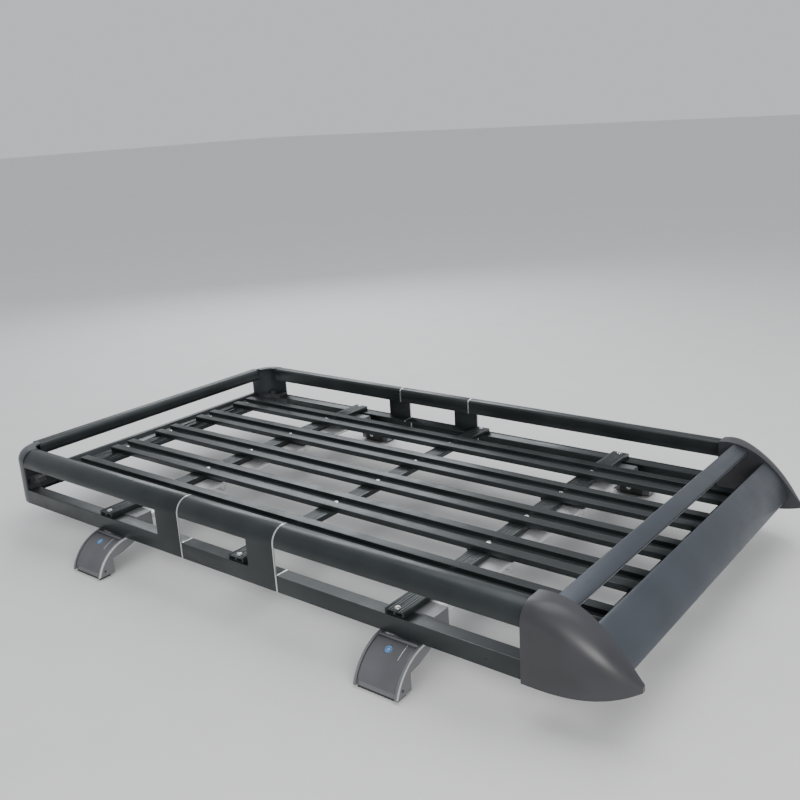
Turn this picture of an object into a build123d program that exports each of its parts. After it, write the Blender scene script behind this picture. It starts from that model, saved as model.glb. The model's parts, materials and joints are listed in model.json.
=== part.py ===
from build123d import *
from math import cos, radians, sin, sqrt
import os

# Roof cargo basket, millimetres. +X is the vehicle's front, +Y its left, +Z up.
# The origin is the middle of the footprint, on the plane that the four feet rest on.

# ---- driving dimensions ----------------------------------------------------
LENGTH = 1800.0            # rear tube to the tips of the front caps
HALF_WIDTH = 496.0         # outer skin of a side rail
PITCH = 160.0              # spacing of the lengthwise slats
DECK = 138.0               # height of the slats' recessed floor, where the screw heads sit
RAIL_TOP = DECK + 88.0
WINDOW_TOP = DECK + 48.0   # underside of the bull-nosed upper tube
SHELF_TOP = DECK - 17.0    # the ledge that carries the cross members
RAIL_BOTTOM = DECK - 54.0
SKIN = 3.5                 # wall of the rail extrusions
NOSE_WIDTH = 50.0          # depth of the bull-nosed tube, inwards from the skin
SHELF_WIDTH = 35.0

REAR_END = -LENGTH / 2
CORNER_RADIUS = 80.0
CORNER_X = REAR_END + CORNER_RADIUS
CORNER_Y = HALF_WIDTH - CORNER_RADIUS
CAP_X = 703.0              # rear edge of the front corner caps
CAP_INNER_Y = 432.0        # inboard face of a cap, where the boards butt
RAIL_END = 728.0           # the rails run this far into the caps
BLOCK = 82.0               # solid part of the skin behind each splice
JOINT_GAP = 1.0            # gap left at each splice

ROWS = (-833.0, -479.0, -14.0, 423.0, 783.0)   # screw rows, rear to front
SPLICES = {"right": (-193.0, 111.0), "left": (-281.0, -33.0)}

SLAT_WIDTH = 83.0
SLAT_RISE = 8.0            # shoulders stand this far above the recessed floor
SLAT_FLOOR = 3.0
SLAT_RECESS = 32.0
SLAT_ENDS = (-855.0, 806.0)

CROSS_WIDTH = 45.0
CROSS_HEIGHT = 12.0
CROSS_TOP = DECK - SLAT_FLOOR - 2.0

BAR_WIDTH = 84.0
BAR_HEIGHT = 30.0
BAR_TOP = DECK - 22.0
BAR_HALF_LENGTH = 450.0
BAR_ROWS = {"rear": ROWS[1] + 12.0, "front": ROWS[3] + 12.0}
BAR_MIDDLE = BAR_TOP - BAR_HEIGHT / 2

FOOT_HALF_WIDTH = 52.0
FOOT_ARC_Y = 480.0         # centre of the arc that the foot's back follows
FOOT_ARC_Z = -22.0
COVER_OUTER = 102.0
COVER_INNER = 98.0
CORE_RADIUS = 97.4
COVER_HALF_WIDTH = 46.0
PAD_THICKNESS = 6.0
LOCK_ANGLE = 64.0
PIN_RADIUS = 2.0
LOCK_RADIUS = 8.0
RUNNING_FIT = 0.06         # radial clearance of a turning fit
BOLT_RADIUS = 4.0
BOLT_Z = 27.0
BORE_DEPTH = 26.0          # of the clamp bolt, beyond the face that the jaw closes on
SCREW_HOLE = 3.2           # radius of a clearance hole
HOLE_DEPTH = 30.0          # deeper than any piece that is drilled
NOSE_BEND = 34.0           # radius of the rail's bull nose
SLEEVE_LENGTH = 80.0

SIDES = {"right": -1, "left": 1}

os.makedirs("parts", exist_ok=True)


def save(part, name):
    part.label = name
    export_step(part, f"parts/{name}.step")


def mirrored(part, side):
    """A piece drawn on the left side, as it is there or mirrored to the right."""
    return part if side > 0 else mirror(part, about=Plane.XZ)


def across(x):
    """A sketch plane square to X, with its own x along +Y and its own y along +Z."""
    return Plane(origin=(x, 0, 0), x_dir=(0, 1, 0), z_dir=(1, 0, 0))


def along(y):
    """A sketch plane square to Y, with its own x along +X and its own y along +Z."""
    return Plane(origin=(0, y, 0), x_dir=(1, 0, 0), z_dir=(0, -1, 0))


# ---- side rails ------------------------------------------------------------
def nose_outline(inset):
    """Closed bull-nose outline of the upper tube, seen along X on the left side."""
    outer = HALF_WIDTH - inset
    inner = HALF_WIDTH - NOSE_WIDTH + inset
    low = WINDOW_TOP + inset
    top = RAIL_TOP - inset
    crown = HALF_WIDTH - NOSE_BEND
    bend = NOSE_BEND - inset
    with BuildLine() as line:
        start = Line((inner, low), (outer, low))
        rise = Line(start @ 1, (outer, top - bend))
        nose = RadiusArc(rise @ 1, (crown, top), -bend)
        roof = Line(nose @ 1, (inner + 4, top - 1.5))
        Polyline(roof @ 1, (inner, top - 6), start @ 0)
    return line.line


def side_rail(rear, front, blocks):
    """One length of side rail on the left side, with its skin left solid at the blocks."""
    length = front - rear
    outer = HALF_WIDTH
    with BuildPart() as rail:
        with BuildSketch(across(rear)):
            with BuildLine():
                add(nose_outline(0))
            make_face()
            with BuildLine():
                add(nose_outline(SKIN))
            make_face(mode=Mode.SUBTRACT)
        extrude(amount=length)
        # skirt below the windows, with the ledge, its lip and the bottom hook
        with BuildSketch(across(rear)):
            with BuildLine():
                Polyline((outer, SHELF_TOP + 1.5), (outer, RAIL_BOTTOM), (outer - 12, RAIL_BOTTOM),
                         (outer - 12, RAIL_BOTTOM + 3), (outer - SKIN, RAIL_BOTTOM + 3),
                         (outer - SKIN, SHELF_TOP - SKIN), (outer - SHELF_WIDTH, SHELF_TOP - SKIN),
                         (outer - SHELF_WIDTH, SHELF_TOP), (outer - SKIN, SHELF_TOP),
                         (outer - SKIN, SHELF_TOP + 1.5), close=True)
            make_face()
        extrude(amount=length)
        for block_rear, block_front in blocks:
            with BuildSketch(across(block_rear)):
                with BuildLine():
                    Polyline((outer, RAIL_BOTTOM + 10), (outer, WINDOW_TOP + 2),
                             (outer - SKIN, WINDOW_TOP + 2), (outer - SKIN, RAIL_BOTTOM + 10),
                             close=True)
                make_face()
            extrude(amount=block_front - block_rear)
    return rail.part


for side_name, side in SIDES.items():
    first, second = SPLICES[side_name]
    spans = {
        "rear": (CORNER_X, first, [(first - JOINT_GAP / 2 - BLOCK, first - JOINT_GAP / 2)]),
        "middle": (first, second, [(second - JOINT_GAP / 2 - BLOCK, second - JOINT_GAP / 2)]),
        "front": (second, RAIL_END, [(CAP_X + 2, RAIL_END)]),
    }
    for place, (start, end, solid_blocks) in spans.items():
        rail_rear = start if place == "rear" else start + JOINT_GAP / 2
        rail_front = end if place == "front" else end - JOINT_GAP / 2
        rail_piece = mirrored(side_rail(rail_rear, rail_front, solid_blocks), side)
        save(rail_piece, f"side_rail_{side_name}_{place}")

# joiner sleeves inside the upper tube at each splice
with BuildPart() as sleeves:
    for side_name, side in SIDES.items():
        for splice in SPLICES[side_name]:
            with BuildSketch(across(splice - SLEEVE_LENGTH / 2)):
                with Locations((side * (HALF_WIDTH - 29), WINDOW_TOP + SKIN + 11)):
                    RectangleRounded(32, 20, 4)
                    RectangleRounded(27, 15, 2, mode=Mode.SUBTRACT)
            extrude(amount=SLEEVE_LENGTH)
save(sleeves.part, "splice_sleeves")


# ---- rear end --------------------------------------------------------------
TUBE_DEPTH = 38.0
TUBE_HEIGHT = RAIL_TOP - WINDOW_TOP - 2
with BuildPart() as rear_upper_tube:
    with BuildSketch(along(CORNER_Y)):
        with Locations((REAR_END + TUBE_DEPTH / 2 + 1, (RAIL_TOP + WINDOW_TOP) / 2)):
            RectangleRounded(TUBE_DEPTH, TUBE_HEIGHT, 14)
            RectangleRounded(TUBE_DEPTH - 5, TUBE_HEIGHT - 5, 11.5, mode=Mode.SUBTRACT)
    extrude(amount=2 * CORNER_Y)
save(rear_upper_tube.part, "rear_upper_tube")

REAR_SHELF_FRONT = -791.0
REAR_LEDGE = CROSS_TOP
with BuildPart() as rear_lower_rail:
    with BuildSketch(along(CORNER_Y)):
        with BuildLine():
            Polyline((REAR_END + 3, RAIL_BOTTOM), (REAR_END + 3, DECK + 1), (REAR_END + 7, DECK + 5),
                     (REAR_END + 20, DECK + 5), (REAR_END + 24, REAR_LEDGE),
                     (REAR_SHELF_FRONT, REAR_LEDGE), (REAR_SHELF_FRONT, REAR_LEDGE - CROSS_HEIGHT),
                     (REAR_SHELF_FRONT - 3, REAR_LEDGE - CROSS_HEIGHT),
                     (REAR_SHELF_FRONT - 3, REAR_LEDGE - 4), (REAR_END + 28, REAR_LEDGE - 4),
                     (REAR_END + 22, DECK - 8), (REAR_END + 6.5, DECK - 8),
                     (REAR_END + 6.5, RAIL_BOTTOM + 3), (REAR_END + 16, RAIL_BOTTOM + 3),
                     (REAR_END + 16, RAIL_BOTTOM), close=True)
        make_face()
    extrude(amount=2 * CORNER_Y)
    with Locations(*[(ROWS[0], PITCH * n, REAR_LEDGE) for n in range(-2, 3)]):
        Hole(SCREW_HOLE, depth=HOLE_DEPTH)
save(rear_lower_rail.part, "rear_lower_rail")


def rear_corner():
    """Quarter-round shell that turns the left rear corner, with a flat cap on top."""
    wall = 4.0
    radius = CORNER_RADIUS
    with BuildPart() as corner:
        with BuildSketch(Plane.XZ):
            with BuildLine():
                skin = Line((radius, RAIL_BOTTOM), (radius, RAIL_TOP - 30))
                bend = RadiusArc(skin @ 1, (radius - 30, RAIL_TOP), -30)
                Polyline(bend @ 1, (radius - 48, RAIL_TOP), (radius - 48, RAIL_TOP - wall),
                         (radius - 30, RAIL_TOP - wall))
                under = RadiusArc((radius - 30, RAIL_TOP - wall), (radius - wall, RAIL_TOP - 30), 26)
                Polyline(under @ 1, (radius - wall, RAIL_BOTTOM), skin @ 0)
            make_face()
        revolve(axis=Axis.Z, revolution_arc=90)
    turned = corner.part.rotate(Axis.Z, 90)
    return turned.moved(Location((CORNER_X, CORNER_Y, 0)))


def corner_bracket():
    """Block inside the left rear corner that ties the two lower rails together."""
    with BuildPart() as bracket:
        with BuildSketch(Plane.XY.offset(SHELF_TOP - 3)):
            with BuildLine():
                left_end = (CORNER_X, CORNER_Y + CORNER_RADIUS - 6)
                back_end = (CORNER_X - CORNER_RADIUS + 9, CORNER_Y)
                outer = RadiusArc(back_end, left_end, CORNER_RADIUS - 6)
                Polyline(left_end, (CORNER_X, CORNER_Y + 42), (CORNER_X - 30, CORNER_Y + 30),
                         (CORNER_X - 36, CORNER_Y), back_end)
            make_face()
        extrude(amount=14)
        with BuildSketch(Plane.XY.offset(SHELF_TOP + 11)):
            with Locations((CORNER_X - 34, CORNER_Y + 46)):
                Circle(12)
        extrude(amount=9)
    return bracket.part


left_corner = rear_corner()
left_bracket = corner_bracket()
for side_name, side in SIDES.items():
    save(mirrored(left_corner, side), f"rear_corner_{side_name}")
    save(mirrored(left_bracket, side), f"corner_bracket_{side_name}")


# ---- front end -------------------------------------------------------------
CAP_OUTER_Y = 500.0
CAP_WALL = 3.6

# stations of the cap from its rear edge to its nose: x, top, bottom, outer face, crown radius
CAP_STATIONS = (
    (CAP_X, DECK + 92, DECK - 58.5, CAP_OUTER_Y, 36),
    (748, DECK + 93, DECK - 58.5, CAP_OUTER_Y, 40),
    (793, DECK + 77, DECK - 57, CAP_OUTER_Y - 4, 52),
    (836, DECK + 45, DECK - 53, CAP_OUTER_Y - 15, 45),
    (872, DECK + 6, DECK - 47, CAP_OUTER_Y - 34, 27),
    (900, DECK - 28, DECK - 39, CAP_OUTER_Y - 59, 5),
)


def cap_section(station, inset):
    x, top, bottom, outer, crown = station
    inner = CAP_INNER_Y + inset
    high = top - inset
    low = bottom + inset
    wide = outer - inset
    bend = max(crown - inset, 3)
    with BuildSketch(across(x)) as section:
        with BuildLine():
            side_line = Line((wide, low), (wide, high - bend))
            arc = RadiusArc(side_line @ 1, (wide - bend, high), -bend)
            Polyline(arc @ 1, (inner, high), (inner, low), (wide, low))
        make_face()
    return section.sketch


def front_cap():
    """Bullet-shaped hollow cap on the left front corner, open to the rear."""
    hollow_stations = [(CAP_X - 1,) + CAP_STATIONS[0][1:]] + list(CAP_STATIONS[1:5])
    with BuildPart() as cavity:
        for station in hollow_stations:
            add(cap_section(station, CAP_WALL))
        loft()
    with BuildPart() as cap:
        for station in CAP_STATIONS:
            add(cap_section(station, 0))
        loft()
        add(cavity.part, mode=Mode.SUBTRACT)
    return cap.part


left_cap = front_cap()
for side_name, side in SIDES.items():
    save(mirrored(left_cap, side), f"front_cap_{side_name}")

with BuildPart() as front_upper_board:
    with BuildSketch(along(CAP_INNER_Y)):
        with BuildLine():
            Polyline((736, DECK + 88), (741, DECK + 92), (769, DECK + 81.5), (773, DECK + 78),
                     (773, DECK + 72), (766, DECK + 71), (738, DECK + 81), close=True)
        make_face()
        with BuildLine():
            Polyline((740, DECK + 86), (742.5, DECK + 88.5), (768, DECK + 79), (769, DECK + 74),
                     (741, DECK + 83.5), close=True)
        make_face(mode=Mode.SUBTRACT)
    extrude(amount=2 * CAP_INNER_Y)
save(front_upper_board.part, "front_upper_board")

FRONT_RAIL_FRONT = ROWS[4] + CROSS_WIDTH / 2
with BuildPart() as front_fairing_board:
    with BuildSketch(along(CAP_INNER_Y)):
        with BuildLine():
            face = ThreePointArc((817, DECK + 56), (850, DECK + 26), (873, DECK - 16))
            Polyline(face @ 1, (871, DECK - 21), (862, DECK - 21), (862, DECK - 18.5),
                     (868.5, DECK - 18.5), (869.5, DECK - 15))
            back = ThreePointArc((869.5, DECK - 15), (847.4, DECK + 23.8), (817, DECK + 51.5))
            Polyline(back @ 1, (811, DECK + 55), (812, DECK + 58), face @ 0)
        make_face()
        with BuildLine():
            Polyline((FRONT_RAIL_FRONT, DECK - 14), (871, DECK - 14), (869.5, DECK - 10.5),
                     (FRONT_RAIL_FRONT, DECK - 10.5), close=True)
        make_face()
    extrude(amount=2 * CAP_INNER_Y)
save(front_fairing_board.part, "front_fairing_board")


# ---- cross members ---------------------------------------------------------
def ribbed_section(width, height):
    """Flat extrusion with fine ribs on top and two chambers inside."""
    rib_pitch = 6.0
    with BuildSketch() as section:
        Rectangle(width, height)
        with GridLocations(rib_pitch, 1, 6, 1):
            with Locations((0, height / 2)):
                Rectangle(1.6, 1.6, mode=Mode.SUBTRACT)
        with GridLocations(width / 2 - 1, 1, 2, 1):
            Rectangle(width / 2 - 6, height - 6, mode=Mode.SUBTRACT)
    return section.sketch


def cross_member(x, half_length, screws):
    with BuildPart() as member:
        with BuildSketch(along(half_length)):
            with Locations((x, CROSS_TOP - CROSS_HEIGHT / 2)):
                add(ribbed_section(CROSS_WIDTH, CROSS_HEIGHT))
        extrude(amount=2 * half_length)
        with Locations(*[(x, y, CROSS_TOP) for y in screws]):
            Hole(SCREW_HOLE, depth=HOLE_DEPTH)
    return member.part


slat_rows = [PITCH * n for n in range(-2, 3)]
end_screws_y = [-3 * PITCH, 3 * PITCH]
for row, place in ((1, "rear"), (2, "middle"), (3, "front")):
    member = cross_member(ROWS[row], HALF_WIDTH - SKIN - 0.5, slat_rows + end_screws_y)
    save(member, f"cross_member_{place}")
save(cross_member(ROWS[4], CAP_INNER_Y, slat_rows), "front_lower_rail")


# ---- slats -----------------------------------------------------------------
def slat(y):
    """Channel-shaped slat: two rounded hollow shoulders and a recessed, grooved floor."""
    half = SLAT_WIDTH / 2
    recess = SLAT_RECESS / 2
    base = CROSS_TOP
    floor = base + SLAT_FLOOR
    top = DECK + SLAT_RISE
    rear, front = SLAT_ENDS
    with BuildPart() as piece:
        with BuildSketch(across(rear)):
            with Locations((y, (base + top) / 2)):
                Rectangle(SLAT_WIDTH, top - base)
            with Locations((y, (floor + top) / 2)):
                Rectangle(SLAT_RECESS, top - floor, mode=Mode.SUBTRACT)
            with Locations((y - 11, floor), (y + 11, floor)):
                Rectangle(2.4, 1.2, mode=Mode.SUBTRACT)
            shoulder = (half + recess) / 2
            middle = (base + top) / 2
            with Locations((y - shoulder, middle), (y + shoulder, middle)):
                Rectangle(half - recess - 5, top - base - 4.6, mode=Mode.SUBTRACT)
        extrude(amount=front - rear)
        crown = piece.edges().filter_by(Axis.X).filter_by(lambda e: e.center().Z > top - 0.1)
        outer_edges = crown.filter_by(lambda e: abs(e.center().Y - y) > half - 0.1)
        inner_edges = crown.filter_by(lambda e: abs(e.center().Y - y) < recess + 0.1)
        fillet(outer_edges, 2.2)
        fillet(inner_edges, 1.0)
        with Locations(*[(x, y, floor) for x in ROWS]):
            Hole(SCREW_HOLE, depth=HOLE_DEPTH)
    return piece.part


for number in range(5):
    save(slat(slat_rows[number]), f"slat_{number + 1}")


def pan_screw(x, y, seat, reach):
    """Round-headed screw standing on its seat, with its shank reaching down."""
    head = 6.5
    rise = 3.6
    with BuildPart() as screw:
        with BuildSketch(Plane(origin=(x, y, seat), x_dir=(1, 0, 0), z_dir=(0, -1, 0))):
            with BuildLine():
                crown = RadiusArc((head, 1.0), (0, rise), -9.5)
                Polyline(crown @ 1, (0, -reach), (3, -reach), (3, 0), (head, 0), crown @ 0)
            make_face()
        revolve(axis=Axis((x, y, seat), (0, 0, 1)))
        with BuildSketch(Plane.XY.offset(seat + rise)):
            with Locations((x, y)):
                RegularPolygon(2.3, 6)
        extrude(amount=-2, mode=Mode.SUBTRACT)
    return screw.part


with BuildPart() as slat_screws:
    for x in ROWS:
        for y in slat_rows:
            add(pan_screw(x, y, CROSS_TOP + SLAT_FLOOR, CROSS_HEIGHT + 1))
save(slat_screws.part, "slat_screws")

with BuildPart() as end_screws:
    for x in ROWS[1:4]:
        for y in end_screws_y:
            add(pan_screw(x, y, CROSS_TOP, CROSS_HEIGHT - 0.5))
save(end_screws.part, "end_screws")


# ---- load bars and what clamps the basket to them ---------------------------
def bar_outline(x):
    """Wing-shaped bar with a slot along its top."""
    with BuildSketch() as outline:
        with Locations((x, BAR_MIDDLE)):
            Ellipse(BAR_WIDTH / 2, BAR_HEIGHT / 2)
    return outline.sketch


def load_bar(x):
    with BuildPart() as bar:
        with BuildSketch(along(BAR_HALF_LENGTH)):
            add(bar_outline(x))
            with Locations((x - 22, BAR_MIDDLE), (x + 22, BAR_MIDDLE)):
                SlotOverall(26, 13, mode=Mode.SUBTRACT)
            with Locations((x, BAR_TOP - 3)):
                Rectangle(10, 8, mode=Mode.SUBTRACT)
            with Locations((x, BAR_TOP - 8.5)):
                Rectangle(17, 5, mode=Mode.SUBTRACT)
        extrude(amount=2 * BAR_HALF_LENGTH)
    return bar.part


with BuildPart() as bar_strips:
    for x in BAR_ROWS.values():
        with BuildSketch(along(BAR_HALF_LENGTH)):
            with Locations((x, BAR_TOP - 4)):
                Rectangle(9.4, 6)
            with Locations((x, BAR_TOP - 8.5)):
                Rectangle(15, 3.6)
        extrude(amount=2 * BAR_HALF_LENGTH)
save(bar_strips.part, "bar_strips")
for place, x in BAR_ROWS.items():
    save(load_bar(x), f"load_bar_{place}")

CLAMP_SPOTS = [(x, y) for x in BAR_ROWS.values() for y in (-PITCH, PITCH)]
CLAMP_REACH = 48.0
ROD = 3.0
with BuildPart() as clamp_plates:
    for x, y in CLAMP_SPOTS:
        with BuildSketch(Plane.XY.offset(BAR_TOP)):
            with Locations((x, y)):
                RectangleRounded(118, 40, 5)
                with GridLocations(2 * CLAMP_REACH, 1, 2, 1):
                    Circle(ROD + 0.3, mode=Mode.SUBTRACT)
        extrude(amount=5)
save(clamp_plates.part, "clamp_plates")

with BuildPart() as clamp_ubolts:
    for x, y in CLAMP_SPOTS:
        bottom = BAR_TOP - BAR_HEIGHT - ROD - 0.4
        top = BAR_TOP + 14
        with BuildLine(along(y)) as rod_path:
            FilletPolyline((x - CLAMP_REACH, top), (x - CLAMP_REACH, bottom),
                           (x + CLAMP_REACH, bottom), (x + CLAMP_REACH, top), radius=10)
        with BuildSketch(Plane(origin=(x - CLAMP_REACH, y, top), z_dir=(0, 0, -1))):
            Circle(ROD)
        sweep(path=rod_path.line)
save(clamp_ubolts.part, "clamp_ubolts")

with BuildPart() as clamp_nuts:
    for x, y in CLAMP_SPOTS:
        with BuildSketch(Plane.XY.offset(BAR_TOP + 5)):
            with Locations((x - CLAMP_REACH, y), (x + CLAMP_REACH, y)):
                RegularPolygon(5.6, 6)
                Circle(ROD, mode=Mode.SUBTRACT)
        extrude(amount=5.5)
save(clamp_nuts.part, "clamp_nuts")


# ---- tower feet, drawn on the left side ------------------------------------
HINGE_AT = 80.0            # angle of the cover's hinge on the arc, from horizontal
HINGE_R = 99.6
COVER_FROM, COVER_TO = 24.0, 77.0
CORE_TOP = BAR_TOP + 2.5
SEAT_Y = 532.0             # flat face that the clamp jaw closes on


def on_arc(radius, angle):
    return (FOOT_ARC_Y + radius * cos(radians(angle)), FOOT_ARC_Z + radius * sin(radians(angle)))


def arm_section(radius):
    """Side outline of the foot's arm, from the bar's socket down to the sole."""
    rise = sqrt(radius ** 2 - (PAD_THICKNESS - FOOT_ARC_Z) ** 2)
    crest = (FOOT_ARC_Y - 6, FOOT_ARC_Z + sqrt(radius ** 2 - 36))
    heel = (FOOT_ARC_Y + rise, PAD_THICKNESS)
    shoulder = (FOOT_ARC_Y + radius * sin(radians(45)), FOOT_ARC_Z + radius * sin(radians(45)))
    with BuildSketch() as section:
        with BuildLine():
            Polyline((405, 79), (405, CORE_TOP), (452, CORE_TOP), (457, CORE_TOP - 5), (457, 84), crest)
            ThreePointArc(crest, shoulder, heel)
            Polyline(heel, (SEAT_Y, PAD_THICKNESS), (SEAT_Y, 42), (505, 46), (475, 56), (440, 71), (405, 79))
        make_face()
    return section.sketch


def foot_body(x):
    with BuildPart() as body:
        with BuildSketch(across(x - COVER_HALF_WIDTH - 0.6)):
            add(arm_section(CORE_RADIUS))
        extrude(amount=2 * COVER_HALF_WIDTH + 1.2)
        for start in (x - FOOT_HALF_WIDTH, x + COVER_HALF_WIDTH + 0.6):
            with BuildSketch(across(start)):
                add(arm_section(COVER_OUTER + 0.5))
            extrude(amount=FOOT_HALF_WIDTH - COVER_HALF_WIDTH - 0.6)
        # socket for the load bar
        with BuildSketch(along(BAR_HALF_LENGTH)):
            add(bar_outline(x))
        extrude(amount=80, mode=Mode.SUBTRACT)
        # room for the cover's hinge barrel, and the bore of its pin
        with BuildSketch(across(x - COVER_HALF_WIDTH - 0.6)):
            with Locations(on_arc(HINGE_R, HINGE_AT)):
                Circle(4.6)
        extrude(amount=2 * COVER_HALF_WIDTH + 1.2, mode=Mode.SUBTRACT)
        with BuildSketch(across(x - FOOT_HALF_WIDTH)):
            with Locations(on_arc(HINGE_R, HINGE_AT)):
                Circle(PIN_RADIUS)
        extrude(amount=2 * FOOT_HALF_WIDTH, mode=Mode.SUBTRACT)
        # pocket behind the lock, and the bore for the clamp bolt
        with BuildSketch(lock_plane(x, CORE_RADIUS + 1)):
            Circle(LOCK_RADIUS + 5)
        extrude(amount=-14, mode=Mode.SUBTRACT)
        with BuildSketch(along(SEAT_Y)):
            with Locations((x, BOLT_Z)):
                Circle(BOLT_RADIUS + RUNNING_FIT)
        extrude(amount=-BORE_DEPTH, mode=Mode.SUBTRACT)
    return body.part


def lock_plane(x, radius):
    """Plane square to the cover at the lock, at this radius from the arc's centre."""
    y, z = on_arc(radius, LOCK_ANGLE)
    normal = (0, cos(radians(LOCK_ANGLE)), sin(radians(LOCK_ANGLE)))
    return Plane(origin=(x - 4, y, z), x_dir=(1, 0, 0), z_dir=normal)


def foot_cover(x):
    """Curved cover on the foot's back, hung from a pin under the side rail."""
    with BuildPart() as cover:
        with BuildSketch(across(x - COVER_HALF_WIDTH)):
            with BuildLine():
                outer = ThreePointArc(on_arc(COVER_OUTER, COVER_FROM), on_arc(COVER_OUTER, 50),
                                      on_arc(COVER_OUTER, COVER_TO))
                inner = ThreePointArc(on_arc(COVER_INNER, COVER_TO), on_arc(COVER_INNER, 50),
                                      on_arc(COVER_INNER, COVER_FROM))
                Line(outer @ 1, inner @ 0)
                Line(inner @ 1, outer @ 0)
            make_face()
            with Locations(on_arc(HINGE_R, HINGE_AT)):
                Circle(4.0)
            with BuildLine():
                Polyline(on_arc(98.3, 77.5), on_arc(101.6, 77.5), on_arc(101.6, 76), on_arc(98.3, 76),
                         close=True)
            make_face()
            with BuildLine():
                Polyline(on_arc(98.0, 79), on_arc(101.0, 79), on_arc(101.6, 76), on_arc(98.3, 76),
                         close=True)
            make_face()
            with Locations(on_arc(HINGE_R, HINGE_AT)):
                Circle(PIN_RADIUS + RUNNING_FIT, mode=Mode.SUBTRACT)
        extrude(amount=2 * COVER_HALF_WIDTH)
        with BuildSketch(lock_plane(x, COVER_OUTER + 4)):
            Circle(LOCK_RADIUS + RUNNING_FIT)
        extrude(amount=-10, mode=Mode.SUBTRACT)
    return cover.part


def foot_lock(x):
    """Lock cylinder that turns in the cover, with its tail in the foot's pocket."""
    with BuildPart() as lock:
        with BuildSketch(lock_plane(x, COVER_OUTER + 0.8)):
            Circle(LOCK_RADIUS)
        extrude(amount=-7)
        with BuildSketch(lock_plane(x, COVER_OUTER - 6.2)):
            RectangleRounded(14, 6, 2)
        extrude(amount=-3)
        with BuildSketch(lock_plane(x, COVER_OUTER + 0.8)):
            SlotOverall(7, 1.8)
        extrude(amount=-2, mode=Mode.SUBTRACT)
    return lock.part


def foot_jaw(x):
    """Clamp jaw with a toe that hooks under the roof rail."""
    inner = SEAT_Y - 0.3
    with BuildPart() as jaw:
        with BuildSketch(across(x - 30)):
            with BuildLine():
                Polyline((inner - 8, 10), (inner - 8, 38), (inner - 5, 40), (inner, 40), (inner, 5.2),
                         (inner + 6, 4.6), (inner + 6, 1.2), (inner - 3, 1.2), close=True)
            make_face()
        extrude(amount=60)
        with BuildSketch(along(inner + 1)):
            with Locations((x, BOLT_Z)):
                Circle(BOLT_RADIUS + 0.4)
        extrude(amount=20, mode=Mode.SUBTRACT)
    return jaw.part


def foot_bolt(x):
    """Socket-headed bolt that draws the jaw in."""
    seat = SEAT_Y - 8.6
    with BuildPart() as bolt:
        with BuildSketch(along(seat)):
            with Locations((x, BOLT_Z)):
                Circle(7)
        extrude(amount=8)
        with BuildSketch(along(seat + 32)):
            with Locations((x, BOLT_Z)):
                Circle(BOLT_RADIUS)
        extrude(amount=33)
        with BuildSketch(along(seat - 8)):
            with Locations((x, BOLT_Z)):
                RegularPolygon(3.4, 6)
        extrude(amount=-4.5, mode=Mode.SUBTRACT)
    return bolt.part


def foot_pad(x):
    """Ribbed rubber sole under the foot."""
    with BuildPart() as pad:
        with BuildSketch(Plane.XY):
            with Locations((x, 557.0)):
                RectangleRounded(96, 30, 3)
        extrude(amount=PAD_THICKNESS)
        with BuildSketch(Plane.XY):
            with Locations((x, 557.0)):
                with GridLocations(8, 1, 11, 1):
                    Rectangle(2.5, 40)
        extrude(amount=1.2, mode=Mode.SUBTRACT)
    return pad.part


makers = {"body": foot_body, "cover": foot_cover, "lock": foot_lock, "jaw": foot_jaw,
          "bolt": foot_bolt, "pad": foot_pad}
for bar_place, bar_x in BAR_ROWS.items():
    for piece_name, maker in makers.items():
        left_piece = maker(bar_x)
        for side_name, side in SIDES.items():
            save(mirrored(left_piece, side), f"foot_{bar_place}_{side_name}_{piece_name}")

with BuildPart() as cover_pins:
    for x in BAR_ROWS.values():
        for side in SIDES.values():
            hinge_y, hinge_z = on_arc(HINGE_R, HINGE_AT)
            with BuildSketch(across(x - FOOT_HALF_WIDTH)):
                with Locations((side * hinge_y, hinge_z)):
                    Circle(PIN_RADIUS)
            extrude(amount=2 * FOOT_HALF_WIDTH)
save(cover_pins.part, "cover_pins")
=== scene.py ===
"""Roof cargo basket on its load bars: satin black extrusions, moulded corners and tower feet."""
import json
import math
import random

import bmesh
import bpy
from mathutils import Matrix, Vector


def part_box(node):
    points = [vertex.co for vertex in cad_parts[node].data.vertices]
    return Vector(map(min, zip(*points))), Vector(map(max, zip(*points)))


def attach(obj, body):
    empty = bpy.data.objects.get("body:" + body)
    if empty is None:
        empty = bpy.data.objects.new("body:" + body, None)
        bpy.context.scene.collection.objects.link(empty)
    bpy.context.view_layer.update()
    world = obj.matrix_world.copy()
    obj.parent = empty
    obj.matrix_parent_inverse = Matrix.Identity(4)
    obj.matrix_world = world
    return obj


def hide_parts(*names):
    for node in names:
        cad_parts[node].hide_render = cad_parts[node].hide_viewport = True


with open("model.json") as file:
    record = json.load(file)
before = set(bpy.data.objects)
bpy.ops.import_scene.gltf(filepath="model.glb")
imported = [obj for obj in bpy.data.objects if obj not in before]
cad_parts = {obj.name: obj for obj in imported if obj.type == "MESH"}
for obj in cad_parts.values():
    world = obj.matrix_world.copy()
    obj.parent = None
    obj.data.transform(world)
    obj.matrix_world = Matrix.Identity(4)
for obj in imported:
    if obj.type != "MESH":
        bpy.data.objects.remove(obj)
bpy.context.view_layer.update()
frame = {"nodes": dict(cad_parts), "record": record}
nodes = frame["nodes"]
record = frame["record"]
random.seed(11)

MM = 0.001
ROOT = "basket"
SIDES = {"right": -1, "left": 1}
PLACES = ("rear", "front")
COLOURS = {m["slot"]: m["base_color"] for m in record["materials"]}
SLOTS = {s["node"]: s["material_slot"] for s in record["subparts"]}


# ---- materials -------------------------------------------------------------------------------

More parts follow.
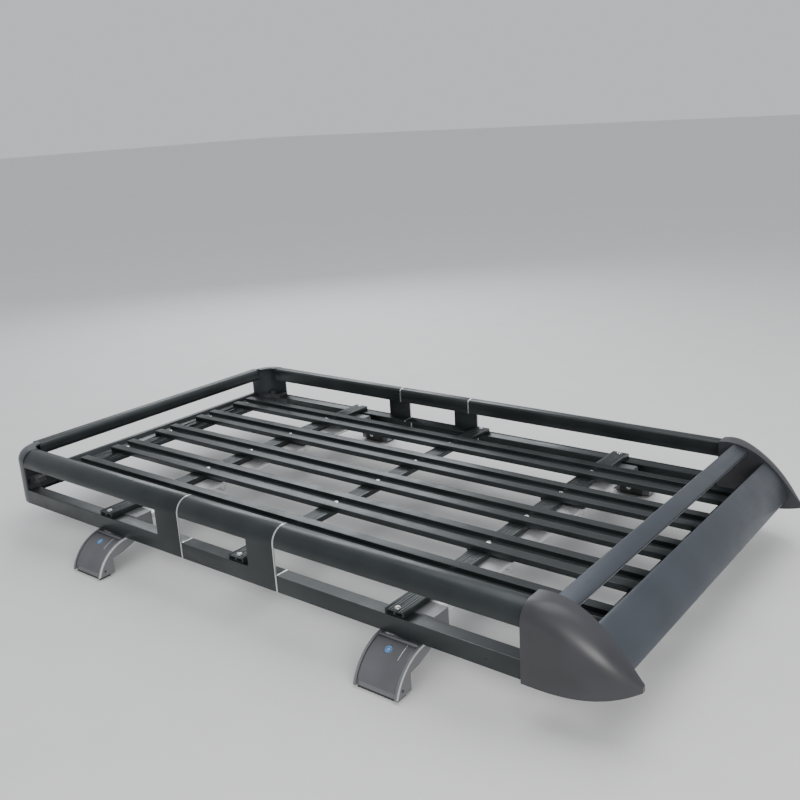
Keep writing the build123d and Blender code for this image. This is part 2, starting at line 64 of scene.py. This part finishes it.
class Finish:
    """A procedural surface: drifting colour, grain, worn edges, uneven roughness and fine bump."""

    def __init__(self, name, colour, roughness, metallic=0.0):
        self.material = bpy.data.materials.new(name)
        self.material.use_nodes = True
        self.tree = self.material.node_tree
        self.shader = self.tree.nodes["Principled BSDF"]
        self.shader.inputs["Metallic"].default_value = metallic
        self.material.diffuse_color = (*colour, 1)
        self.colour = colour
        self.roughness = roughness
        self.place = self.node("ShaderNodeTexCoord").outputs["Object"]

    def node(self, kind, **settings):
        """Adds one shader node with these settings."""
        made = self.tree.nodes.new(kind)
        for key, value in settings.items():
            setattr(made, key, value)
        return made

    def link(self, output, target):
        self.tree.links.new(output, target)

    def noise(self, scale, stretch=(1, 1, 1), detail=3.0):
        """Noise fixed to the object, drawn out where stretch is small."""
        mapping = self.node("ShaderNodeMapping")
        mapping.inputs["Scale"].default_value = stretch
        self.link(self.place, mapping.inputs["Vector"])
        texture = self.node("ShaderNodeTexNoise")
        texture.inputs["Scale"].default_value = scale
        texture.inputs["Detail"].default_value = detail
        self.link(mapping.outputs["Vector"], texture.inputs["Vector"])
        return texture.outputs["Fac"]

    def ranged(self, value, low, high, to_low, to_high):
        """Carries a value from one range to another, held at its ends."""
        made = self.node("ShaderNodeMapRange")
        self.link(value, made.inputs["Value"])
        for key, number in (("From Min", low), ("From Max", high), ("To Min", to_low), ("To Max", to_high)):
            made.inputs[key].default_value = number
        return made.outputs["Result"]

    def mixed(self, factor, first, second):
        """Mixes two colours, each a colour or another node's output."""
        made = self.node("ShaderNodeMix", data_type="RGBA")
        self.link(factor, made.inputs["Factor"])
        for socket, value in ((made.inputs[6], first), (made.inputs[7], second)):
            if isinstance(value, tuple):
                socket.default_value = (*value, 1)
            else:
                self.link(value, socket)
        return made.outputs[2]

    def edges(self, radius):
        """How much the surface turns within this radius, from 0 on a flat to 1 on a sharp edge."""
        bevel = self.node("ShaderNodeBevel", samples=4)
        bevel.inputs["Radius"].default_value = radius
        geometry = self.node("ShaderNodeNewGeometry")
        dot = self.node("ShaderNodeVectorMath", operation="DOT_PRODUCT")
        self.link(bevel.outputs["Normal"], dot.inputs[0])
        self.link(geometry.outputs["Normal"], dot.inputs[1])
        return self.ranged(dot.outputs["Value"], 0.995, 0.86, 0.0, 1.0)

    def build(self, drift=0.18, grain=(1, 1, 1), grain_scale=260.0, bump=0.12, wear=0.5, wear_colour=None):
        dark = tuple(c * (1 - drift) for c in self.colour)
        light = tuple(min(1.0, c * (1 + drift) + 0.004) for c in self.colour)
        cloud = self.ranged(self.noise(7.0), 0.35, 0.65, 0.0, 1.0)
        base = self.mixed(cloud, dark, light)
        grit = self.noise(grain_scale, grain, detail=4.0)
        base = self.mixed(self.ranged(grit, 0.42, 0.75, 0.0, 0.35), base, light)
        worn = self.node("ShaderNodeMath", operation="MULTIPLY")
        self.link(self.edges(0.9 * MM), worn.inputs[0])
        self.link(self.ranged(self.noise(38.0), 0.38, 0.62, 0.15 * wear, wear), worn.inputs[1])
        bare = wear_colour or tuple(min(1.0, c * 1.8 + 0.05) for c in self.colour)
        self.link(self.mixed(worn.outputs["Value"], base, bare), self.shader.inputs["Base Color"])
        smears = self.noise(16.0, detail=5.0)
        uneven = self.ranged(smears, 0.3, 0.7, self.roughness - 0.06, self.roughness + 0.07)
        rough = self.node("ShaderNodeMath", operation="ADD", use_clamp=True)
        self.link(uneven, rough.inputs[0])
        self.link(self.ranged(grit, 0.3, 0.7, -0.03, 0.04), rough.inputs[1])
        self.link(rough.outputs["Value"], self.shader.inputs["Roughness"])
        relief = self.node("ShaderNodeBump")
        relief.inputs["Strength"].default_value = bump
        relief.inputs["Distance"].default_value = 0.25 * MM
        self.link(grit, relief.inputs["Height"])
        self.link(relief.outputs["Normal"], self.shader.inputs["Normal"])
        return self.material


ALONG_X = (0.02, 1, 1)
ALONG_Y = (1, 0.02, 1)

SURFACES = {
    "rail_black": Finish("rail black", COLOURS["rail_black"], 0.34, 0.55).build(
        grain=ALONG_X, bump=0.08, wear=0.45),
    "board_black": Finish("board black", COLOURS["board_black"], 0.36, 0.55).build(
        grain=ALONG_Y, drift=0.06, bump=0.08, wear=0.5),
    "corner_black": Finish("corner black", COLOURS["corner_black"], 0.36, 0.35).build(bump=0.10, wear=0.4),
    "cap_black": Finish("cap black", COLOURS["cap_black"], 0.38).build(
        grain_scale=900.0, bump=0.2, wear=0.25),
    "bar_silver": Finish("bar silver", COLOURS["bar_silver"], 0.3, 0.45).build(
        drift=0.05, grain=ALONG_Y, bump=0.06, wear=0.2),
    "foot_frame_grey": Finish("foot frame grey", COLOURS["foot_frame_grey"], 0.42, 0.6).build(
        drift=0.08, grain_scale=700.0, bump=0.16, wear=0.4),
    "foot_cover_grey": Finish("foot cover grey", COLOURS["foot_cover_grey"], 0.36).build(
        grain_scale=900.0, bump=0.2, wear=0.3),
    "clamp_black": Finish("clamp black", COLOURS["clamp_black"], 0.5, 0.3).build(bump=0.2, wear=0.6),
    "lock_blue": Finish("lock blue", COLOURS["lock_blue"], 0.28).build(
        drift=0.06, grain_scale=500.0, bump=0.05, wear=0.2),
    "zinc_steel": Finish("zinc steel", COLOURS["zinc_steel"], 0.26, 1.0).build(
        drift=0.06, grain_scale=500.0, bump=0.1, wear=0.2),
    "black_rubber": Finish("black rubber", COLOURS["black_rubber"], 0.7).build(
        grain_scale=600.0, bump=0.35, wear=0.3),
}
# Bright metal: bare metal at the sawn rail ends, the feet's machined edges and the cover trim; on the front
# board's lip it is a painted highlight.
BARE_METAL_AND_HIGHLIGHT = Finish("bare metal and painted highlight", (0.72, 0.73, 0.74), 0.34, 0.85).build(
    drift=0.08, grain_scale=420.0, bump=0.15, wear=0.2)
DARK_GAP = Finish("dark gap", (0.012, 0.012, 0.013), 0.7).build(bump=0.2, wear=0.0)


# ---- mesh helpers ----------------------------------------------------------------------------

def smooth(obj, angle=32):
    """Shades smoothly, but keeps edges sharper than this angle crisp."""
    obj.data.shade_smooth()
    obj.data.set_sharp_from_angle(angle=math.radians(angle))


def piece(name, mesh, slot, body=ROOT, replaces=(), surface=None, angle=40):
    """Turns a bmesh into a finished object that rides on a body."""
    bmesh.ops.recalc_face_normals(mesh, faces=mesh.faces)
    data = bpy.data.meshes.new(name)
    mesh.to_mesh(data)
    mesh.free()
    obj = bpy.data.objects.new(name, data)
    bpy.context.scene.collection.objects.link(obj)
    data.materials.append(surface or SURFACES[slot])
    smooth(obj, angle)
    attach(obj, body)
    if replaces:
        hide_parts(*replaces)
    return obj


def loft(mesh, rings, closed=True, caps=True):
    """Joins rings of equal length into a skin."""
    made = [[mesh.verts.new(p) for p in ring] for ring in rings]
    count = len(made[0])
    for first, second in zip(made, made[1:]):
        for i in range(count if closed else count - 1):
            j = (i + 1) % count
            mesh.faces.new((first[i], first[j], second[j], second[i]))
    if caps:
        mesh.faces.new(made[0])
        mesh.faces.new(made[-1])
    return made


def lathe(mesh, centre, axis, profile, segments=32, turn=0.0):
    """Revolves (radius, height) points about an axis through a centre."""
    spin = Vector(axis).normalized().to_track_quat("Z", "Y")
    rings = []
    for radius, height in profile:
        ring = []
        for i in range(segments):
            a = 2 * math.pi * i / segments + turn
            spoke = Vector((radius * math.cos(a), radius * math.sin(a), height))
            ring.append(Vector(centre) + spin @ spoke)
        rings.append(ring)
    loft(mesh, rings)


def bar_between(mesh, start, end, wide, high, up=(0, 0, 1), soft=0.3):
    """A bar of rounded rectangular section between two points."""
    start = Vector(start)
    end = Vector(end)
    forward = (end - start).normalized()
    side = forward.cross(Vector(up)).normalized()
    lift = side.cross(forward)
    cut = soft * min(wide, high)
    corners = []
    for sx, sz in ((1, 1), (-1, 1), (-1, -1), (1, -1)):
        a = Vector((sx * (wide / 2 - cut), sz * high / 2))
        b = Vector((sx * wide / 2, sz * (high / 2 - cut)))
        corners += [b, a] if sx * sz > 0 else [a, b]
    rings = []
    length = (end - start).length
    for at, shrink in ((0, 1 - soft), (cut, 1), (length - cut, 1), (length, 1 - soft)):
        middle = start + forward * at
        rings.append([middle + side * (c.x * shrink) + lift * (c.y * shrink) for c in corners])
    loft(mesh, rings)


# ---- the frame's own pieces ------------------------------------------------------------------

def soften(obj, width, angle=32):
    """Rounds a CAD node's sharp edges for the light, without moving its mesh."""
    weld = obj.modifiers.new("weld", "WELD")
    weld.merge_threshold = 0.01 * MM
    bevel = obj.modifiers.new("soft edges", "BEVEL")
    bevel.width = width
    bevel.segments = 2
    bevel.limit_method = "ANGLE"
    bevel.angle_limit = math.radians(angle)


SOFT_EDGES = {"slat_": 0.5, "side_rail": 0.6, "front_upper": 0.7, "front_fairing": 0.6, "rear_lower": 0.6,
              "cross_member": 0.25, "front_lower": 0.4}
for node_name, node_object in nodes.items():
    for start, width in SOFT_EDGES.items():
        if node_name.startswith(start) and node_name != "slat_screws":
            soften(node_object, width * MM)
    node_object.data.materials.clear()
    node_object.data.materials.append(SURFACES[SLOTS[node_name]])
    smooth(node_object)


# ---- camera, floor and light -----------------------------------------------------------------

CAMERA_AT = Vector((1.451, -1.720, 1.0335))
CAMERA_AIM = Vector((0.0755, -0.0023, 0.3654))
CAMERA_ROLL = math.radians(-3.37)
LENS = 42.7
SENSOR = 36.0
camera_data = bpy.data.cameras.new("camera")
camera_data.lens = LENS
camera_data.sensor_width = SENSOR
camera = bpy.data.objects.new("camera", camera_data)
camera.location = CAMERA_AT
level = (CAMERA_AIM - CAMERA_AT).to_track_quat("-Z", "Y").to_matrix()
turned = level @ Matrix.Rotation(CAMERA_ROLL, 3, "Z")
camera.rotation_euler = turned.to_euler()
bpy.context.scene.collection.objects.link(camera)
bpy.context.scene.camera = camera

FLOOR_REACH = 40.0
FLOOR_DEPTH = 0.02
floor_mesh = bmesh.new()
loft(floor_mesh, [[(-FLOOR_REACH, y, -FLOOR_DEPTH), (FLOOR_REACH, y, -FLOOR_DEPTH), (FLOOR_REACH, y, 0),
                   (-FLOOR_REACH, y, 0)] for y in (-FLOOR_REACH, FLOOR_REACH)])
floor_data = bpy.data.meshes.new("floor")
bmesh.ops.recalc_face_normals(floor_mesh, faces=floor_mesh.faces)
floor_mesh.to_mesh(floor_data)
floor_mesh.free()
floor = bpy.data.objects.new("floor", floor_data)
bpy.context.scene.collection.objects.link(floor)
floor_finish = Finish("floor", (0.74, 0.74, 0.73), 0.75)
floor_data.materials.append(floor_finish.build(drift=0.01, bump=0.02, wear=0.0))


def softbox(name, at, aim, size, power, colour=(1, 1, 1)):
    """A large rectangular light that faces a point."""
    data = bpy.data.lights.new(name, "AREA")
    data.shape = "RECTANGLE"
    data.size, data.size_y = size
    data.energy = power
    data.color = colour
    obj = bpy.data.objects.new(name, data)
    obj.location = at
    obj.rotation_euler = (Vector(aim) - Vector(at)).to_track_quat("-Z", "Y").to_euler()
    bpy.context.scene.collection.objects.link(obj)


world = bpy.data.worlds.new("studio")
world.use_nodes = True
world.node_tree.nodes["Background"].inputs["Color"].default_value = (0.90, 0.92, 0.96, 1)
world.node_tree.nodes["Background"].inputs["Strength"].default_value = 0.72
bpy.context.scene.world = world
softbox("overhead", (0.3, 0.4, 3.2), (0, 0, 0.1), (3.2, 2.4), 60)
softbox("key", (3.0, -2.2, 1.5), (0.5, -0.2, 0.1), (1.6, 1.0), 60, (1, 0.98, 0.95))
softbox("back", (-2.4, 2.2, 1.8), (0, 0, 0.15), (2.2, 1.2), 35, (0.93, 0.96, 1))


# ---- side rails: bare cut ends at the splices ------------------------------------------------

CUT_THICK = 0.85 * MM
CUT_PROUD = 0.35 * MM
CUT_STEP = 0.3 * MM          # how far the sawn edge stands into the gap between two lengths


def cut_edge(rail, at_front):
    """Bright sawn edge around the end of a length of rail, a little proud of the skin."""
    low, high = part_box(rail)
    x = high.x if at_front else low.x
    inward = -1 if at_front else 1
    source = nodes[rail].data
    mesh = bmesh.new()
    mesh.from_mesh(source)
    bmesh.ops.remove_doubles(mesh, verts=mesh.verts, dist=0.01 * MM)
    away = [f for f in mesh.faces if any(abs(v.co.x - x) > 0.02 * MM for v in f.verts)]
    bmesh.ops.delete(mesh, geom=away, context="FACES")
    bmesh.ops.recalc_face_normals(mesh, faces=mesh.faces)
    bmesh.ops.dissolve_limit(mesh, angle_limit=math.radians(1), verts=mesh.verts, edges=mesh.edges)
    cut = bmesh.ops.extrude_face_region(mesh, geom=mesh.faces[:])
    moved = [v for v in cut["geom"] if isinstance(v, bmesh.types.BMVert)]
    bmesh.ops.translate(mesh, verts=moved, vec=(inward * 2 * CUT_THICK, 0, 0))
    bmesh.ops.translate(mesh, verts=mesh.verts, vec=(-inward * CUT_STEP, 0, 0))
    bmesh.ops.recalc_face_normals(mesh, faces=mesh.faces)
    walls = [f for f in mesh.faces if abs(f.normal.x) < 0.5]
    push = {}
    for face in walls:
        for vert in face.verts:
            push[vert] = push.get(vert, Vector()) + face.normal
    for vert, way in push.items():
        vert.co += way.normalized() * CUT_PROUD
    return piece(rail + ("_front_cut" if at_front else "_rear_cut"), mesh, "bar_silver", surface=BARE_METAL_AND_HIGHLIGHT)


for side_name in SIDES:
    cut_edge(f"side_rail_{side_name}_rear", True)
    cut_edge(f"side_rail_{side_name}_middle", True)
    cut_edge(f"side_rail_{side_name}_middle", False)
    cut_edge(f"side_rail_{side_name}_front", False)


# ---- screws ------------------------------------------------------------------------------

HEAD_RADIUS = 6.5 * MM
HEAD_RISE = 3.6 * MM
SHANK_RADIUS = 3.0 * MM
THREAD_PITCH = 1.0 * MM


def screw_head(mesh, centre, axis=(0, 0, 1), radius=HEAD_RADIUS, rise=HEAD_RISE, turn=0.0):
    """Domed pan head with a round-bottomed socket."""
    socket = 0.36 * radius
    lathe(mesh, centre, axis, [(radius * 0.96, 0), (radius, 0.1 * rise), (radius, 0.28 * rise),
                               (radius * 0.93, 0.52 * rise), (radius * 0.78, 0.76 * rise),
                               (radius * 0.58, 0.93 * rise), (socket * 1.1, rise), (socket, 0.97 * rise),
                               (socket * 0.92, 0.45 * rise)], turn=turn)


def threaded_shank(mesh, centre, reach):
    """Shank below a head, with ridges where the thread shows and a chamfered end."""
    profile = [(SHANK_RADIUS, 0)]
    depth = 0.35 * reach
    while depth < reach - THREAD_PITCH:
        profile += [(SHANK_RADIUS * 0.88, -depth), (SHANK_RADIUS, -depth - THREAD_PITCH / 2)]
        depth += THREAD_PITCH
    profile.append((SHANK_RADIUS * 0.7, -reach))
    lathe(mesh, centre, (0, 0, 1), profile, segments=16)


def screws_at(node):
    """A detailed screw in the place of each solid of a CAD node of screws."""
    mesh = bmesh.new()
    mesh.from_mesh(nodes[node].data)
    bmesh.ops.remove_doubles(mesh, verts=mesh.verts, dist=0.01 * MM)
    left = set(mesh.verts)
    spots = []
    while left:
        island = [left.pop()]
        for vert in island:
            for edge in vert.link_edges:
                other = edge.other_vert(vert)
                if other in left:
                    left.remove(other)
                    island.append(other)
        xs = [v.co.x for v in island]
        ys = [v.co.y for v in island]
        spots.append(((min(xs) + max(xs)) / 2, (min(ys) + max(ys)) / 2))
    mesh.free()
    low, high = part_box(node)
    seat = high.z - HEAD_RISE
    screws = bmesh.new()
    for x, y in sorted((round(x, 5), round(y, 5)) for x, y in spots):
        screw_head(screws, (x, y, seat), turn=random.uniform(0, math.pi))
        threaded_shank(screws, (x, y, seat), seat - low.z)
    return screws


for screw_node in ("slat_screws", "end_screws"):
    piece(f"{screw_node}_detail", screws_at(screw_node), "zinc_steel", replaces=(screw_node,), angle=50)


# ---- front boards: painted highlight along the rolled lip --------------------------------------

def board_highlight_strip(name, node, x_share, z_share, wide):
    """Rolled lip along the whole length of a front board, coloured bright metal as a painted highlight."""
    low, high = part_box(node)
    x = low.x + (high.x - low.x) * x_share
    z = low.z + (high.z - low.z) * z_share
    mesh = bmesh.new()
    bar_between(mesh, (x, low.y + 2 * MM, z), (x, high.y - 2 * MM, z), wide, wide * 0.8)
    return piece(name, mesh, "bar_silver", surface=BARE_METAL_AND_HIGHLIGHT)


# The bright strip along the upper board's lower edge is a painted highlight.
board_highlight_strip("upper_board_painted_highlight", "front_upper_board", 0.985, 0.12, 1.4 * MM)


# ---- rear upper tube: seam ---------------------------------------------------------------------

tube_low, tube_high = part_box("rear_upper_tube")
seam = bmesh.new()
seam_x = tube_low.x + 0.62 * (tube_high.x - tube_low.x)
bar_between(seam, (seam_x, tube_low.y + 4 * MM, tube_high.z), (seam_x, tube_high.y - 4 * MM, tube_high.z),
            1.2 * MM, 0.5 * MM)
piece("rear_tube_seam", seam, "rail_black", surface=DARK_GAP)


# ---- slats: drawn lines in the recessed floor --------------------------------------------------

SLAT_FLOOR_Z = 136 * MM        # the recessed floor between a slat's shoulders
LINE_OFFSET = 11 * MM
for number in range(1, 6):
    slat_low, slat_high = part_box(f"slat_{number}")
    middle = (slat_low.y + slat_high.y) / 2
    lines = bmesh.new()
    for y in (middle - LINE_OFFSET, middle + LINE_OFFSET):
        rear_end = (slat_low.x + 3 * MM, y, SLAT_FLOOR_Z)
        front_end = (slat_high.x - 3 * MM, y, SLAT_FLOOR_Z)
        bar_between(lines, rear_end, front_end, 1.6 * MM, 0.7 * MM)
    piece(f"slat_{number}_drawn_lines", lines, "rail_black")


# ---- tower feet ------------------------------------------------------------------------------

ARC_Y = 480 * MM
ARC_Z = -22 * MM
COVER_OUTER = 102 * MM
COVER_INNER = 98.3 * MM
COVER_HALF = 46 * MM
PLATE_HALF = 52 * MM
HINGE_R = 99.6 * MM
HINGE_AT = 80.0
LOCK_AT = 64.0
LOCK_SHIFT = -4 * MM


def on_arc(side, radius, degrees, x):
    """A point on the arc that a foot's back follows, on the given side."""
    a = math.radians(degrees)
    return Vector((x, side * (ARC_Y + radius * math.cos(a)), ARC_Z + radius * math.sin(a)))


def foot_cover(place, side_name, x):
    """Curved cover with rolled rims, its hinge barrel and the lock's raised collar."""
    side = SIDES[side_name]
    mesh = bmesh.new()
    first, last, rows, columns = 22.2, 76.8, 28, 20
    rim = 3.2 * MM
    rings = []
    for i in range(rows + 1):
        degrees = first + (last - first) * i / rows
        from_end = min(degrees - first, last - degrees) * math.radians(1) * COVER_OUTER
        outer = []
        inner = []
        for j in range(columns + 1):
            share = math.sin((j / columns - 0.5) * math.pi)
            across = x + share * COVER_HALF
            from_side = COVER_HALF - abs(across - x)
            near = min(from_end, from_side, rim) / rim
            near = max(near, 0.0)
            drop = 1.6 * MM * (1 - math.sqrt(max(0.0, 1 - (1 - near) ** 2)))
            crown = 0.5 * MM * abs(share) ** 2
            outer.append(on_arc(side, COVER_OUTER - drop - crown, degrees, across))
            inner.append(on_arc(side, COVER_INNER, degrees, across))
        rings.append(outer + inner[::-1])
    loft(mesh, rings)
    hinge = on_arc(side, HINGE_R, HINGE_AT, x - COVER_HALF + 0.6 * MM)
    length = 2 * COVER_HALF - 1.2 * MM
    lathe(mesh, hinge, (1, 0, 0), [(2.1 * MM, 0), (3.2 * MM, 0), (3.9 * MM, 0.7 * MM),
                                   (3.9 * MM, length - 0.7 * MM), (3.2 * MM, length), (2.1 * MM, length)])
    outward = on_arc(side, 1, LOCK_AT, 0) - on_arc(side, 0, LOCK_AT, 0)
    seat = on_arc(side, COVER_OUTER - 1.2 * MM, LOCK_AT, x + LOCK_SHIFT)
    lathe(mesh, seat, outward, [(8.3 * MM, 0), (10.4 * MM, 0), (10.2 * MM, 1.3 * MM), (9.6 * MM, 1.7 * MM),
                                (8.7 * MM, 1.7 * MM), (8.3 * MM, 1.3 * MM), (8.3 * MM, 0)])
    piece(f"{place}_{side_name}_foot_cover", mesh, "foot_cover_grey", f"foot_{place}_{side_name}_cover",
          replaces=(f"foot_{place}_{side_name}_cover",), angle=50)


def arc_strip(mesh, side, x, wide, radius, thick, first, last, steps=26):
    """Thin curved strip that follows the foot's arc."""
    rings = []
    for i in range(steps + 1):
        degrees = first + (last - first) * i / steps
        edge = 0.3 * wide
        rings.append([on_arc(side, radius + r, degrees, x + s) for s, r in (
            (-wide / 2, -thick / 2), (-wide / 2, thick / 2), (-wide / 2 + edge, thick),
            (wide / 2 - edge, thick), (wide / 2, thick / 2), (wide / 2, -thick / 2))])
    loft(mesh, rings)


def foot_lock(place, side_name, x):
    """Round lock with a pale ringed face and a key slot."""
    side = SIDES[side_name]
    body = f"foot_{place}_{side_name}_lock"
    outward = (on_arc(side, 1, LOCK_AT, 0) - on_arc(side, 0, LOCK_AT, 0)).normalized()
    face = on_arc(side, COVER_OUTER - 3.2 * MM, LOCK_AT, x + LOCK_SHIFT)
    mesh = bmesh.new()
    lathe(mesh, face, outward, [(7.7 * MM, 0), (7.8 * MM, 2.6 * MM), (7.5 * MM, 3.3 * MM),
                                (6.6 * MM, 3.5 * MM), (6.0 * MM, 3.1 * MM), (4.4 * MM, 3.1 * MM),
                                (4.0 * MM, 3.3 * MM), (0.4 * MM, 3.35 * MM)])
    piece(f"{place}_{side_name}_lock", mesh, "lock_blue", body, replaces=(body,), angle=50)
    slot = bmesh.new()
    along = Vector((1, 0, 0))
    middle = face + outward * 3.3 * MM
    bar_between(slot, middle - along * 2.9 * MM, middle + along * 2.9 * MM, 1.5 * MM, 0.5 * MM, up=outward)
    piece(f"{place}_{side_name}_key_slot", slot, "zinc_steel", body)


BAND_OUTER = 102.3 * MM
BAND_DEEP = 5.2 * MM
BAND_FROM = 17.0
BAND_TURN = 72.0
BAND_STEPS = 32


def foot_bands(place, side_name, x):
    """Bright machined edge along both side plates, its lower screws and the cover's trim line."""
    side = SIDES[side_name]
    for end, plate in (("front", 1), ("rear", -1)):
        mesh = bmesh.new()
        rings = []
        face = x + plate * PLATE_HALF
        section = ((1, -0.3), (1, 0.3), (0.7, 0.6), (0.15, 0.6), (0, 0.1), (0, -0.3))
        for i in range(BAND_STEPS + 1):
            degrees = BAND_FROM + BAND_TURN * i / BAND_STEPS
            rings.append([on_arc(side, BAND_OUTER - inset * BAND_DEEP, degrees, face + plate * rise * MM)
                          for inset, rise in section])
        loft(mesh, rings)
        piece(f"{place}_{side_name}_foot_{end}_edge", mesh, "bar_silver", surface=BARE_METAL_AND_HIGHLIGHT, angle=50)
        screw = bmesh.new()
        spot = on_arc(side, 88 * MM, 27.0, x + plate * PLATE_HALF)
        screw_head(screw, spot, (plate, 0, 0), radius=3.0 * MM, rise=1.8 * MM, turn=random.uniform(0, 1))
        piece(f"{place}_{side_name}_foot_{end}_screw", screw, "clamp_black", angle=50)
    trim = bmesh.new()
    arc_strip(trim, side, x + 27 * MM, 1.1 * MM, COVER_OUTER - 0.05 * MM, 0.3 * MM, 56.0, 76.0)
    piece(f"{place}_{side_name}_cover_trim_line", trim, "bar_silver", f"foot_{place}_{side_name}_cover",
          surface=BARE_METAL_AND_HIGHLIGHT)


for place in PLACES:
    bar_low, bar_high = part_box(f"load_bar_{place}")
    bar_x = (bar_low.x + bar_high.x) / 2
    for side_name in SIDES:
        foot_cover(place, side_name, bar_x)
        foot_lock(place, side_name, bar_x)
        foot_bands(place, side_name, bar_x)
